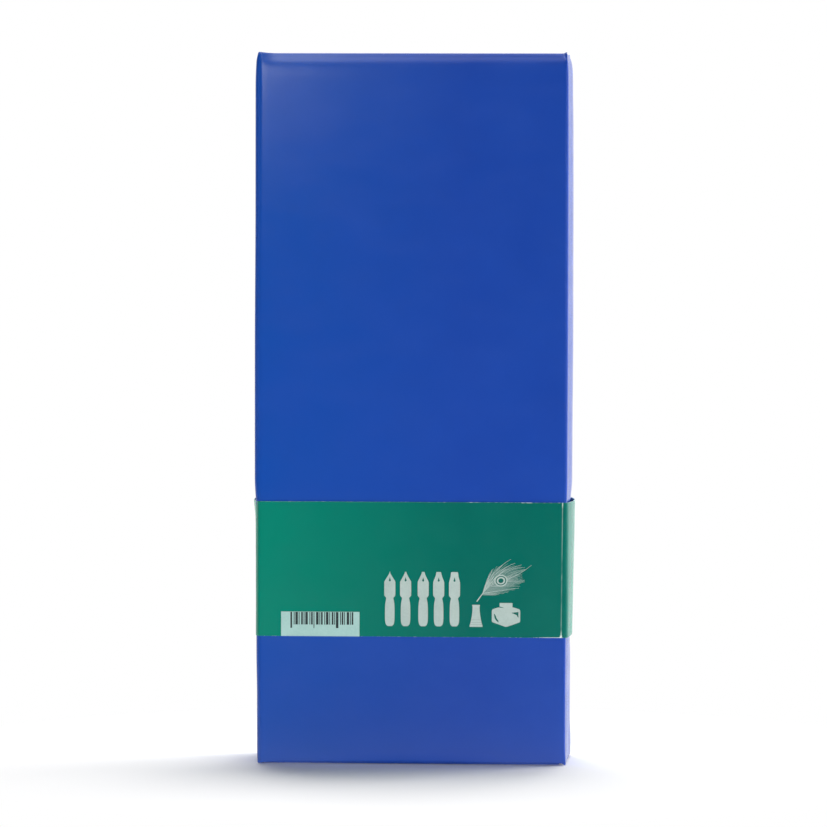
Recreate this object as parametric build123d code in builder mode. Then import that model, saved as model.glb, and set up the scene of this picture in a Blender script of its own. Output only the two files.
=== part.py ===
"""Calligraphy set box, standing on its short end.

A rigid board sleeve wrapped in blue paper, open at both ends, holds a push-through tray.
A card belly band is slipped round the lower third of the sleeve. In the tray a foam insert
holds a feather pen with a fitted nib, spare nibs, a metal pen stand and a pot of ink.

Frame: millimetres, +Z up, origin at the middle of the standing face.
X is the width, Y the depth. The plain back is at -Y, and the tray opens towards +Y.
"""

import os

from build123d import *

os.makedirs("parts", exist_ok=True)

# ---------------------------------------------------------------- driving sizes
# Sleeve. Its depth follows from the ink pot, the deepest thing that it holds.
sleeve_width = 124.0
sleeve_height = 284.0  # over the folded corner tips
fold_radius = 2.4  # the four long edges
end_edge_radius = 0.9  # the soft edges at both ends
wrap_thickness = 0.3
board_thickness = 2.0
lining_thickness = 0.3
sleeve_turn_in = 16.0  # wrap folded inside each end
tip_height = 0.6  # the wrap's gathered corners stand past the end edges
tip_size = 3.2

# Tray
tray_side_gap = 0.5
tray_face_gap = 0.4
tray_board_thickness = 1.8
tray_edge_radius = 0.6
tray_end_radius = 0.55
tray_turn_in = 9.0

# Belly band
band_bottom = 51.1
band_height = 53.9
band_thickness = 0.4
band_face_gap = 0.3
band_crease_inset = 1.3  # the scored creases stand inside the sleeve's sides
band_shoulder_out = 0.4
band_shoulder_back = 1.6
band_bow = 2.2  # how far the loose side panels stand off the sleeve

# Insert
insert_gap = 0.3
insert_headroom = 5.8  # from the cover sheet to the tray's rim
cover_thickness = 0.6
pocket_gap = 0.3
pocket_corner = 2.0
tight_corner = 0.8  # where a square foot fills the pocket's corners
notch_width = 16.0  # finger notches
notch_reach = 9.0
notch_depth = 18.0

# Feather pen. It fills the insert's length, less its two margins.
pen_side_margin = 1.2
pen_foot_margin = 11.3
pen_head_margin = 0.7
pen_front = 1.2  # the grip and the stand rise this far past the cover
nib_length = 37.0
nib_seat = 15.0  # length of nib inside the holder
nib_radius = 3.4
nib_metal = 0.35
nib_point_length = 5.9  # from the shoulders to the tip
nib_body_length = 9.6
nib_waist_taper = 3.0
nib_shank_taper = 3.7
nib_waist_half_width = 2.5
nib_shank_half_width = 3.2
nib_travel = 14.0
nib_clearance = 0.35
nib_arc_drop = 0.6  # how far past its half circle the nib's section goes
breather_radius = 0.6
slit_width = 0.15
ferrule_wall = 0.5
ferrule_length = 17.0
ferrule_exposed = 9.0
clip_bore = 1.1
grip_length = 52.0
grip_radius = 5.0
grip_swell = 0.3
grip_swell_length = 9.0
grip_finger_length = 22.9  # from its lower end to the neck under the bead
grip_neck_radius = 3.7
grip_neck_length = 1.0
grip_bead = 0.9
grip_bead_length = 3.2
grip_stem_radius = 3.2
grip_collar_radius = 4.2
grip_collar_length = 4.0
grip_lip = 1.2
grip_lip_wall = 1.0
shaft_root_radius = 1.9
shaft_tip_radius = 0.45
shaft_socket = 14.0
shaft_clearance = 0.1
vane_start = 22.0  # bare shaft between the holder and the first barbs
vane_half_width = 20.0
vane_root_half_width = 2.6
vane_outline = ((0.42, 0.3), (0.86, 0.6), (1.0, 0.78), (0.62, 0.94))  # shares of its half width, length
vane_thickness = 1.6
vane_end_past_shaft = 3.0
recess_margin = 2.0
recess_below = 3.0
recess_corner = 8.0

# Spare nibs, in a row from fine to broad
nib_row_margin = 39.7
spare_nib_pitch = 10.4
spare_tip_widths = (0.5, 0.9, 1.5, 2.3, 3.1)
nib_slot_gap = 0.4
nib_slot_floor = 0.3

# Pen stand
stand_gap = 42.1  # from the pot's pocket to the stand's foot
stand_height = 35.0
stand_base_radius = 11.0
stand_foot_height = 2.6
stand_step = 0.9
stand_ring_height = 1.6
stand_neck_radius = 6.5
stand_rim_radius = 7.1
stand_rim_height = 2.6
stand_rim_flare = 0.4
stand_rim_fillet = 0.5
stand_socket_radius = 5.1
stand_socket_depth = 27.0

# Ink pot
pot_foot_margin = 31.3
column_offset = 1.4  # the column stands this far past the middle of its room
pot_across = 32.0
pot_front_gap = 1.6  # from the pot to the tray's rim
pot_body_height = 16.0
pot_shoulder_height = 2.6
pot_chamfer = 2.2
pot_wall = 2.0
pot_edge = 6.5  # the four narrow corner facets
pot_neck_radius = 6.7
pot_neck_height = 7.2
pot_bore_radius = 5.0
thread_pitch = 3.0
thread_depth = 0.5
thread_width = 0.9
thread_turns = 1.5
ink_fill = 0.72
cap_clearance = 0.3
cap_wall = 1.3
cap_top = 1.6
cap_skirt = 7.6
cap_ribs = 30
cap_rib_radius = 0.35
liner_thickness = 0.9

# ---------------------------------------------------------------- derived places
inner_skin = max(wrap_thickness, lining_thickness)
sleeve_wall = wrap_thickness + board_thickness + inner_skin
tray_wall = wrap_thickness + tray_board_thickness
tray_inner_depth = pocket_gap + pot_across + pot_front_gap
tray_depth = tray_inner_depth + tray_wall
sleeve_depth = tray_depth + 2 * tray_face_gap + 2 * sleeve_wall

edge_low = tip_height
edge_high = sleeve_height - tip_height
core_width = sleeve_width - 2 * wrap_thickness
core_depth = sleeve_depth - 2 * wrap_thickness
hollow_width = core_width - 2 * board_thickness
hollow_depth = core_depth - 2 * board_thickness
mouth_width = hollow_width - 2 * inner_skin
mouth_depth = hollow_depth - 2 * inner_skin

tray_width = mouth_width - 2 * tray_side_gap
tray_top = edge_high
tray_core_width = tray_width - 2 * wrap_thickness
tray_core_depth = tray_depth - 2 * wrap_thickness
tray_core_low = wrap_thickness
tray_core_high = tray_top - wrap_thickness
tray_rim_y = tray_depth / 2
tray_floor_y = tray_rim_y - tray_inner_depth
tray_inner_width = tray_core_width - 2 * tray_board_thickness
tray_inner_low = tray_core_low + tray_board_thickness
tray_inner_high = tray_core_high - tray_board_thickness
tray_middle_z = (tray_inner_low + tray_inner_high) / 2

insert_width = tray_inner_width - 2 * wrap_thickness - 2 * insert_gap
insert_low = tray_inner_low + wrap_thickness + insert_gap
insert_high = tray_inner_high - wrap_thickness - insert_gap
insert_height = insert_high - insert_low
cover_front_y = tray_rim_y - insert_headroom
foam_front_y = cover_front_y - cover_thickness
foam_thickness = foam_front_y - tray_floor_y

# The pen, from its nib at the bottom to its feather at the top
recess_width = 2 * (vane_half_width + recess_margin)
pen_x = -insert_width / 2 + pen_side_margin + recess_width / 2
pen_y = cover_front_y + pen_front - grip_radius
pen_pocket_low = insert_low + pen_foot_margin
nib_tip_z = pen_pocket_low + recess_margin + nib_travel
nib_mouth_z = nib_tip_z + nib_length - nib_seat
ferrule_top_z = nib_mouth_z + ferrule_length
ferrule_depth = ferrule_length - ferrule_exposed
grip_low_z = nib_mouth_z + ferrule_exposed
grip_high_z = grip_low_z + grip_length
ferrule_bore = nib_radius + nib_clearance
ferrule_radius = ferrule_bore + ferrule_wall
clip_radius = nib_radius - nib_metal - nib_clearance
clip_low_z = nib_mouth_z + nib_clearance
clip_head_z = nib_mouth_z + nib_seat + nib_clearance
recess_high = insert_high - pen_head_margin
vane_low_z = grip_high_z + vane_start
vane_high_z = recess_high - recess_margin
shaft_bore = shaft_root_radius + shaft_clearance
shaft_low_z = grip_high_z - shaft_socket
shaft_high_z = vane_high_z - vane_end_past_shaft
shaft_length = shaft_high_z - shaft_low_z

# The other things stand in one column beside the feather.
column_room_low = pen_x + recess_width / 2
column_x = (column_room_low + insert_width / 2) / 2 + column_offset
pot_x = column_x
pot_y = tray_floor_y + pocket_gap + pot_across / 2
pot_bottom = insert_low + pot_foot_margin
pot_neck_z = pot_bottom + pot_body_height + pot_shoulder_height
pot_rim_z = pot_neck_z + pot_neck_height
pot_inside = pot_across - 2 * pot_wall
pot_floor_z = pot_bottom + pot_wall
pot_ceiling_z = pot_neck_z - pot_wall
ink_level_z = pot_floor_z + ink_fill * (pot_ceiling_z - pot_floor_z)
thread_rise = thread_pitch * thread_turns
thread_start_z = pot_rim_z - thread_rise - thread_width
liner_radius = pot_neck_radius + thread_depth
cap_inner_radius = liner_radius + cap_clearance
cap_outer_radius = cap_inner_radius + cap_wall
cap_ceiling_z = pot_rim_z + liner_thickness
cap_high_z = cap_ceiling_z + cap_top
cap_low_z = cap_ceiling_z - cap_skirt
pot_pocket_high = cap_high_z + cap_skirt

spare_nib_bottom = insert_high - nib_row_margin - nib_length
spare_nib_y = cover_front_y - nib_radius - nib_slot_floor
spare_count = len(spare_tip_widths)
spare_nib_places = [
    column_x + (i - (spare_count - 1) / 2) * spare_nib_pitch for i in range(spare_count)
]

stand_x = column_x
stand_y = cover_front_y + pen_front - stand_base_radius
stand_room = stand_height + notch_reach
stand_bottom = pot_pocket_high + stand_gap


# ---------------------------------------------------------------- shared shapes
def upright_block(width, depth, low, high, side_radius, edge_radius):
    """A block standing on Z, its long edges and its end edges rounded."""
    with BuildPart() as block:
        with BuildSketch(Plane.XY.offset(low)):
            RectangleRounded(width, depth, side_radius)
        extrude(amount=high - low)
        ends = block.faces().filter_by(Axis.Z)
        fillet(ends.edges(), edge_radius)
    return block.part


def front_plane(x, y, z):
    """A sketch plane facing -Y, with its x along X and its y along Z."""
    return Plane(origin=(x, y, z), x_dir=(1, 0, 0), z_dir=(0, -1, 0))


def write(name, part):
    """Labels one finished piece and writes its STEP file."""
    part.label = name
    export_step(part, f"parts/{name}.step")


# ---------------------------------------------------------------- sleeve
# The core is the room inside the outer paper: board, lining and hollow together.
core_radius = fold_radius - wrap_thickness
core_edge_radius = end_edge_radius - wrap_thickness
core_low = edge_low + wrap_thickness
core_high = edge_high - wrap_thickness
sleeve_core = upright_block(core_width, core_depth, core_low, core_high, core_radius, core_edge_radius)

with BuildPart() as sleeve_board:
    add(sleeve_core)
    with BuildSketch(Plane.XY.offset(core_low)):
        Rectangle(hollow_width, hollow_depth)
    extrude(amount=core_high - core_low, mode=Mode.SUBTRACT)
write("sleeve_board", sleeve_board.part)

sleeve_outside = upright_block(
    sleeve_width, sleeve_depth, edge_low, edge_high, fold_radius, end_edge_radius
)

with BuildPart() as sleeve_wrap:
    add(sleeve_outside)
    # The four gathered paper tips at each end.
    for low, high in ((0, edge_low + tip_size), (edge_high - tip_size, sleeve_height)):
        with BuildSketch(Plane.XY.offset(low)):
            RectangleRounded(sleeve_width, sleeve_depth, fold_radius)
            with BuildSketch(mode=Mode.PRIVATE) as corners:
                with GridLocations(sleeve_width - tip_size, sleeve_depth - tip_size, 2, 2):
                    Rectangle(tip_size, tip_size)
            add(corners.sketch, mode=Mode.INTERSECT)
        extrude(amount=high - low)
    add(sleeve_core, mode=Mode.SUBTRACT)
    # Both ends are open.
    with BuildSketch():
        Rectangle(mouth_width, mouth_depth)
    extrude(amount=sleeve_height, mode=Mode.SUBTRACT)
    # The wrap is folded over the board's ends and glued inside.
    for low in (core_low, core_high - sleeve_turn_in):
        with BuildSketch(Plane.XY.offset(low)):
            Rectangle(hollow_width, hollow_depth)
            turn_in_gap = 2 * wrap_thickness
            Rectangle(hollow_width - turn_in_gap, hollow_depth - turn_in_gap, mode=Mode.SUBTRACT)
        extrude(amount=sleeve_turn_in)
write("sleeve_wrap", sleeve_wrap.part)

with BuildPart() as sleeve_lining:
    with BuildSketch(Plane.XY.offset(core_low + sleeve_turn_in)):
        Rectangle(hollow_width, hollow_depth)
        lining_gap = 2 * lining_thickness
        Rectangle(hollow_width - lining_gap, hollow_depth - lining_gap, mode=Mode.SUBTRACT)
    extrude(amount=core_high - core_low - 2 * sleeve_turn_in)
write("sleeve_lining", sleeve_lining.part)


# ---------------------------------------------------------------- belly band
def band_outline(grow):
    """The band's closed loop, seen from above: flat faces, creases and bowed sides."""
    face_y = sleeve_depth / 2 + band_face_gap + grow
    crease_x = sleeve_width / 2 - band_crease_inset + grow / 2
    shoulder_x = sleeve_width / 2 + band_shoulder_out + grow
    shoulder_y = face_y - band_shoulder_back - grow / 2
    bow_x = sleeve_width / 2 + band_bow + grow
    with BuildLine() as outline:
        Line((-crease_x, -face_y), (crease_x, -face_y))
        Line((crease_x, -face_y), (shoulder_x, -shoulder_y))
        ThreePointArc((shoulder_x, -shoulder_y), (bow_x, 0), (shoulder_x, shoulder_y))
        Line((shoulder_x, shoulder_y), (crease_x, face_y))
        Line((crease_x, face_y), (-crease_x, face_y))
        Line((-crease_x, face_y), (-shoulder_x, shoulder_y))
        ThreePointArc((-shoulder_x, shoulder_y), (-bow_x, 0), (-shoulder_x, -shoulder_y))
        Line((-shoulder_x, -shoulder_y), (-crease_x, -face_y))
    return outline.line


with BuildPart() as belly_band:
    with BuildSketch(Plane.XY.offset(band_bottom)):
        add(band_outline(band_thickness))
        make_face()
    extrude(amount=band_height)
    with BuildSketch(Plane.XY.offset(band_bottom)):
        add(band_outline(0))
        make_face()
    extrude(amount=band_height, mode=Mode.SUBTRACT)
write("belly_band", belly_band.part)

# ---------------------------------------------------------------- tray
tray_core = upright_block(
    tray_core_width,
    tray_core_depth,
    tray_core_low,
    tray_core_high,
    tray_edge_radius - wrap_thickness,
    tray_end_radius - wrap_thickness,
)


def tray_mouth(shrink):
    """The outline of the tray's inside at its open front, smaller all round by shrink."""
    with BuildSketch(front_plane(0, tray_rim_y, tray_middle_z)) as mouth:
        Rectangle(tray_inner_width - 2 * shrink, tray_inner_high - tray_inner_low - 2 * shrink)
    return mouth.sketch


with BuildPart() as tray_board:
    add(tray_core)
    extrude(tray_mouth(0), amount=tray_inner_depth, mode=Mode.SUBTRACT)
write("tray_board", tray_board.part)

tray_outside = upright_block(tray_width, tray_depth, 0, tray_top, tray_edge_radius, tray_end_radius)

with BuildPart() as tray_wrap:
    add(tray_outside)
    add(tray_core, mode=Mode.SUBTRACT)
    # The wrap is folded over the rim and glued down inside the walls.
    extrude(tray_mouth(0), amount=tray_turn_in)
    extrude(tray_mouth(wrap_thickness), amount=tray_turn_in, mode=Mode.SUBTRACT)
write("tray_wrap", tray_wrap.part)


# ---------------------------------------------------------------- insert
def pocket(x, low, high, width, corner=pocket_corner):
    """The outline of one pocket in the foam's front face."""
    with BuildSketch(front_plane(x, cover_front_y, (low + high) / 2)) as outline:
        RectangleRounded(width, high - low, corner)
    return outline.sketch


def notch(x, z, width):
    """The outline of a finger notch that reaches past both sides of a pocket."""
    with BuildSketch(front_plane(x, cover_front_y, z)) as outline:
        SlotOverall(width + 2 * notch_reach, notch_width)
    return outline.sketch


grip_width = 2 * (grip_radius + pocket_gap)
pen_pocket_high = grip_high_z + pocket_gap
pen_pocket_depth = cover_front_y - pen_y + grip_radius + pocket_gap
pen_notch_z = (grip_low_z + grip_high_z) / 2
recess_depth = cover_front_y - pen_y + recess_below
pot_pocket_width = pot_across + 2 * pocket_gap
pot_pocket_low = pot_bottom - pocket_gap
pot_pocket_depth = cover_front_y - tray_floor_y
pot_notch_z = pot_bottom + pot_body_height / 2
stand_pocket_width = 2 * (stand_base_radius + pocket_gap)
stand_pocket_low = stand_bottom - pocket_gap
stand_pocket_high = stand_bottom + stand_room
stand_pocket_depth = cover_front_y - stand_y + stand_base_radius + pocket_gap
stand_notch_z = stand_bottom + stand_height / 2
nib_slot_width = 2 * (nib_radius + nib_slot_gap)
nib_slot_low = spare_nib_bottom - nib_slot_gap
nib_slot_high = spare_nib_bottom + nib_length + nib_slot_gap
nib_slot_depth = cover_front_y - spare_nib_y + nib_arc_drop + nib_slot_floor

# Every cut in the insert: its outline and its depth from the cover's front.
insert_cuts = [
    (pocket(pen_x, pen_pocket_low, pen_pocket_high, grip_width), pen_pocket_depth),
    (notch(pen_x, pen_notch_z, grip_width), notch_depth),
    (pocket(pen_x, grip_high_z, recess_high, recess_width, recess_corner), recess_depth),
    (pocket(pot_x, pot_pocket_low, pot_pocket_high, pot_pocket_width), pot_pocket_depth),
    (notch(pot_x, pot_notch_z, pot_pocket_width), notch_depth),
    (
        pocket(stand_x, stand_pocket_low, stand_pocket_high, stand_pocket_width, tight_corner),
        stand_pocket_depth,
    ),
    (notch(stand_x, stand_notch_z, stand_pocket_width), notch_depth),
]
for nib_x in spare_nib_places:
    insert_cuts.append((pocket(nib_x, nib_slot_low, nib_slot_high, nib_slot_width), nib_slot_depth))


def insert_layer(front_y, thickness):
    """A sheet that fills the tray, with every pocket cut into it."""
    with BuildPart() as layer:
        with BuildSketch(front_plane(0, front_y, (insert_low + insert_high) / 2)):
            Rectangle(insert_width, insert_height)
        extrude(amount=thickness)
        for outline, depth in insert_cuts:
            extrude(outline, amount=depth, mode=Mode.SUBTRACT)
    return layer.part


write("foam_insert", insert_layer(foam_front_y, foam_thickness))
write("insert_cover", insert_layer(cover_front_y, cover_thickness))


# ---------------------------------------------------------------- nibs
def nib_blank(tip_width, points_up):
    """One dip nib: a thin arched blade, cut to its outline, with its breather and slit.

    It stands on Z with its middle at the origin's height, the arch towards +Y.
    """
    side = nib_shank_half_width
    shoulder_z = nib_length - nib_point_length
    body_z = shoulder_z - nib_body_length
    waist_z = body_z - nib_waist_taper
    half_tip = tip_width / 2
    with BuildPart() as nib:
        with BuildSketch():
            Circle(nib_radius)
            Circle(nib_radius - nib_metal, mode=Mode.SUBTRACT)
            with Locations((0, -nib_radius - nib_arc_drop)):
                Rectangle(2 * nib_radius, 2 * nib_radius, mode=Mode.SUBTRACT)
        extrude(amount=nib_length)
        with BuildSketch(front_plane(0, nib_radius, 0)):
            with BuildLine():
                heel = ThreePointArc((-side, side), (0, 0), (side, side))
                right_shank = Line(heel @ 1, (side, waist_z - nib_shank_taper))
                right_waist = Line(right_shank @ 1, (nib_waist_half_width, waist_z))
                right_body = Line(right_waist @ 1, (nib_radius, body_z))
                right_side = Line(right_body @ 1, (nib_radius, shoulder_z))
                right_point = Line(right_side @ 1, (half_tip, nib_length))
                tip = Line(right_point @ 1, (-half_tip, nib_length))
                mirror(right_point, about=Plane.YZ)
                mirror(right_side, about=Plane.YZ)
                mirror(right_body, about=Plane.YZ)
                mirror(right_waist, about=Plane.YZ)
                mirror(right_shank, about=Plane.YZ)
            make_face()
        extrude(amount=2 * nib_radius, mode=Mode.INTERSECT)
        with BuildSketch(front_plane(0, nib_radius, shoulder_z)):
            Circle(breather_radius)
            with Locations((0, nib_length / 2)):
                Rectangle(slit_width, nib_length)
        extrude(amount=2 * nib_radius, mode=Mode.SUBTRACT)
    if points_up:
        return nib.part
    return nib.part.rotate(Axis.Y, 180)


fitted_nib = nib_blank(spare_tip_widths[0], points_up=False)
fitted_nib.position = (pen_x, pen_y, nib_tip_z + nib_length)
write("fitted_nib", fitted_nib)

for number, (nib_x, tip_width) in enumerate(zip(spare_nib_places, spare_tip_widths), start=1):
    spare_nib = nib_blank(tip_width, points_up=True)
    spare_nib.position = (nib_x, spare_nib_y, spare_nib_bottom)
    write(f"spare_nib_{number}", spare_nib)

# ---------------------------------------------------------------- feather pen
def turned(x, y, z, points):
    """A solid turned about the upright axis at x, y from its half outline of (radius, height)."""
    with BuildPart() as piece:
        with BuildSketch(front_plane(x, y, z)):
            with BuildLine():
                Polyline(*points, close=True)
            make_face()
        revolve(axis=Axis((x, y, z), (0, 0, 1)))
    return piece.part


with BuildPart() as nib_ferrule:
    with BuildSketch(Plane((pen_x, pen_y, nib_mouth_z))):
        Circle(ferrule_radius)
        Circle(ferrule_bore, mode=Mode.SUBTRACT)
    extrude(amount=ferrule_length)
    mouth_edges = nib_ferrule.edges().group_by(Axis.Z)[0]
    chamfer(mouth_edges.sort_by(SortBy.RADIUS)[-1], ferrule_wall / 2)
write("nib_ferrule", nib_ferrule.part)

with BuildPart() as nib_clip:
    with BuildSketch(Plane((pen_x, pen_y, clip_low_z))):
        Circle(clip_radius)
        Circle(clip_bore, mode=Mode.SUBTRACT)
    extrude(amount=clip_head_z - clip_low_z)
    with BuildSketch(Plane((pen_x, pen_y, clip_head_z))):
        Circle(ferrule_bore)
        Circle(clip_bore, mode=Mode.SUBTRACT)
    extrude(amount=ferrule_top_z - clip_head_z)
write("nib_clip", nib_clip.part)

with BuildPart() as pen_grip:
    with BuildSketch(front_plane(pen_x, pen_y, grip_low_z)):
        with BuildLine():
            base = Line((ferrule_radius, 0), (grip_radius - grip_swell, 0))
            swell = ThreePointArc(
                base @ 1,
                (grip_radius, grip_swell_length / 2),
                (grip_radius - grip_swell, grip_swell_length),
            )
            flank = Spline(
                swell @ 1,
                (grip_neck_radius, grip_finger_length),
                tangents=(swell % 1, (0, 1)),
            )
            low_neck = Line(flank @ 1, flank @ 1 + (0, grip_neck_length))
            bead = ThreePointArc(
                low_neck @ 1,
                low_neck @ 1 + (grip_bead, grip_bead_length / 2),
                low_neck @ 1 + (0, grip_bead_length),
            )
            high_neck = Line(bead @ 1, bead @ 1 + (0, grip_neck_length))
            collar_z = grip_length - grip_collar_length
            stem_middle_z = ((high_neck @ 1).Y + collar_z) / 2
            stem = Spline(
                high_neck @ 1,
                (grip_stem_radius, stem_middle_z),
                (grip_collar_radius, collar_z),
                tangents=((0, 1), (0, 1)),
            )
            collar = Line(stem @ 1, (grip_collar_radius, grip_length - grip_lip))
            lip = RadiusArc(collar @ 1, (shaft_bore + grip_lip_wall, grip_length), -grip_collar_length)
            top = Line(lip @ 1, (shaft_bore, grip_length))
            socket_side = Line(top @ 1, (shaft_bore, grip_length - shaft_socket))
            socket_floor = Line(socket_side @ 1, (0, grip_length - shaft_socket))
            axis_line = Line(socket_floor @ 1, (0, ferrule_depth))
            seat = Line(axis_line @ 1, (ferrule_radius, ferrule_depth))
            Line(seat @ 1, base @ 0)
        make_face()
    revolve(axis=Axis((pen_x, pen_y, grip_low_z), (0, 0, 1)))
write("pen_grip", pen_grip.part)

shaft_outline = [
    (0, 0),
    (shaft_root_radius, 0),
    (shaft_tip_radius, shaft_length),
    (0, shaft_length),
]
write("quill_shaft", turned(pen_x, pen_y, shaft_low_z, shaft_outline))

with BuildPart() as feather_vane:
    with BuildSketch(front_plane(pen_x, pen_y + vane_thickness / 2, vane_low_z)):
        vane_height = vane_high_z - vane_low_z
        with BuildLine():
            right_edge = Spline(
                (vane_root_half_width, 0),
                *[(vane_half_width * across, vane_height * up) for across, up in vane_outline],
                (0, vane_height),
                tangents=((0.1, 1), (-1, 0)),
            )
            mirror(right_edge, about=Plane.YZ)
            Line((-vane_root_half_width, 0), (vane_root_half_width, 0))
        make_face()
    extrude(amount=vane_thickness)
    add(turned(pen_x, pen_y, shaft_low_z, shaft_outline), mode=Mode.SUBTRACT)
write("feather_vane", feather_vane.part)

# ---------------------------------------------------------------- pen stand
stand_waist_z = stand_foot_height + stand_ring_height
stand_rim_z = stand_height - stand_rim_height
with BuildPart() as pen_stand:
    with BuildSketch(front_plane(stand_x, stand_y, stand_bottom)):
        with BuildLine():
            underside = Line((0, 0), (stand_base_radius, 0))
            foot = Line(underside @ 1, (stand_base_radius, stand_foot_height))
            foot_top = Line(foot @ 1, (stand_base_radius - stand_step, stand_foot_height))
            ring = Line(foot_top @ 1, (stand_base_radius - stand_step, stand_waist_z))
            ring_top = Line(ring @ 1, (stand_base_radius - 2 * stand_step, stand_waist_z))
            flare = Spline(
                ring_top @ 1,
                (stand_neck_radius, stand_rim_z),
                tangents=((-0.42, 1), (0, 1)),
            )
            rim_under = Line(flare @ 1, (stand_rim_radius, stand_rim_z + stand_rim_flare))
            rim = Line(rim_under @ 1, (stand_rim_radius, stand_height))
            rim_top = Line(rim @ 1, (stand_socket_radius, stand_height))
            socket_wall = Line(rim_top @ 1, (stand_socket_radius, stand_height - stand_socket_depth))
            socket_end = Line(socket_wall @ 1, (0, stand_height - stand_socket_depth))
            Line(socket_end @ 1, underside @ 0)
        make_face()
    revolve(axis=Axis((stand_x, stand_y, stand_bottom), (0, 0, 1)))
    rim_edges = pen_stand.edges().group_by(Axis.Z)[-1]
    fillet(rim_edges, stand_rim_fillet)
write("pen_stand", pen_stand.part)

# ---------------------------------------------------------------- ink pot
def octagon_block(across, corner, low, high, soft_edge):
    """An eight-sided block about the pot's axis, its corners cut back and its edges softened."""
    with BuildPart() as block:
        with BuildSketch(Plane((pot_x, pot_y, low))) as base:
            Rectangle(across, across)
            chamfer(base.vertices(), corner)
        extrude(amount=high - low)
        ends = block.faces().filter_by(Axis.Z)
        chamfer(ends.edges(), soft_edge)
    return block.part


pot_cavity = octagon_block(
    pot_inside, pot_edge, pot_floor_z, pot_ceiling_z, pot_chamfer - pot_wall / 2
)

with BuildPart() as ink_bottle:
    add(octagon_block(pot_across, pot_edge + pot_wall / 2, pot_bottom, pot_neck_z, pot_chamfer))
    with BuildSketch(Plane((pot_x, pot_y, pot_neck_z))):
        Circle(pot_neck_radius)
    extrude(amount=pot_neck_height)
    with BuildLine():
        thread_path = Helix(
            pitch=thread_pitch,
            height=thread_rise,
            radius=pot_neck_radius,
            center=(pot_x, pot_y, thread_start_z),
        )
    with BuildSketch(Plane(origin=thread_path @ 0, x_dir=(1, 0, 0), z_dir=thread_path % 0)):
        with BuildLine():
            Polyline(
                (-thread_depth, -thread_width / 2),
                (thread_depth, -thread_width / 5),
                (thread_depth, thread_width / 5),
                (-thread_depth, thread_width / 2),
                close=True,
            )
        make_face()
    sweep(path=thread_path, is_frenet=True)
    add(pot_cavity, mode=Mode.SUBTRACT)
    with BuildSketch(Plane((pot_x, pot_y, pot_floor_z + pot_wall))):
        Circle(pot_bore_radius)
    extrude(amount=pot_rim_z - pot_floor_z, mode=Mode.SUBTRACT)
write("ink_bottle", ink_bottle.part)

with BuildPart() as ink:
    add(pot_cavity)
    split(bisect_by=Plane((pot_x, pot_y, ink_level_z)), keep=Keep.BOTTOM)
write("ink", ink.part)

with BuildPart() as cap_liner:
    with BuildSketch(Plane((pot_x, pot_y, pot_rim_z))):
        Circle(liner_radius)
    extrude(amount=liner_thickness)
write("cap_liner", cap_liner.part)

with BuildPart() as ink_cap:
    with BuildSketch(Plane((pot_x, pot_y, cap_low_z))):
        Circle(cap_outer_radius)
    extrude(amount=cap_high_z - cap_low_z)
    top_edge = ink_cap.edges().group_by(Axis.Z)[-1]
    fillet(top_edge, cap_top / 2)
    with BuildSketch(Plane((pot_x, pot_y, cap_low_z))):
        with PolarLocations(cap_outer_radius, cap_ribs):
            Circle(cap_rib_radius)
    extrude(amount=cap_skirt)
    with BuildSketch(Plane((pot_x, pot_y, cap_low_z))):
        Circle(cap_inner_radius)
    extrude(amount=cap_skirt, mode=Mode.SUBTRACT)
write("ink_cap", ink_cap.part)
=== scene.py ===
"""Looks of the calligraphy set box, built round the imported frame.

The shapes are written in millimetres and scaled to metres as their meshes are made.
The plain back of the box is at -Y, which the camera faces, and the tray's open front is at +Y.
"""
import math
import random

import bmesh
import bpy
from mathutils import Matrix, Vector, noise


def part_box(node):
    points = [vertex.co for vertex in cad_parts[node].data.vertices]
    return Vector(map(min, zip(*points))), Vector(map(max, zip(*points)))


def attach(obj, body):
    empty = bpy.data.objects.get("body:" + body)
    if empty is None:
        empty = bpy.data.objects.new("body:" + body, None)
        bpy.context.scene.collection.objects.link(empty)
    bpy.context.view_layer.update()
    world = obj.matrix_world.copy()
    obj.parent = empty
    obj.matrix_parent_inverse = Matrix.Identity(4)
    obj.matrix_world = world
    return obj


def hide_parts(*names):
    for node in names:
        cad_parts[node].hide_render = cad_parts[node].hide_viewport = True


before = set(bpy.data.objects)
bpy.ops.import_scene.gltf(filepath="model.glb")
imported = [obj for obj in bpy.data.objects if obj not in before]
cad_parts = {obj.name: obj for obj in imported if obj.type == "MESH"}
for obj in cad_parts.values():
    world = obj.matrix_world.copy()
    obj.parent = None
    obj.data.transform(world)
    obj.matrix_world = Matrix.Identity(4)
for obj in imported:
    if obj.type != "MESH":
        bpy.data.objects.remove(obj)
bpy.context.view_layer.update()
MM = 0.001


def cad(node):
    """The lowest and highest corner of a CAD node, in millimetres."""
    low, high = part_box(node)
    return low / MM, high / MM


half_width, half_depth, height = cad("sleeve_wrap")[1]  # of the sleeve
band_low, band_high = cad("belly_band")
shaft_low, shaft_high = cad("quill_shaft")
vane_low, vane_high = cad("feather_vane")


# ---- colour and noise
def srgb(red, green, blue):
    """A colour from 0-255 screen values as the linear values that shaders take."""
    linear = []
    for value in (red, green, blue):
        share = value / 255
        linear.append(share / 12.92 if share <= 0.04045 else ((share + 0.055) / 1.055) ** 2.4)
    return (*linear, 1.0)


def ease(value, low, high):
    """0 below low, 1 above high and a smooth step between them."""
    share = min(max((value - low) / (high - low), 0.0), 1.0)
    return share * share * (3 - 2 * share)


def wave(x, y, z, size):
    """Smooth noise from -1 to 1 whose lumps are about size millimetres across."""
    return noise.noise(Vector((x, y, z)) / size)


# ---- meshes
def new_object(name, data):
    """Links an object with its data to the scene."""
    made = bpy.data.objects.new(name, data)
    bpy.context.scene.collection.objects.link(made)
    return made


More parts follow.
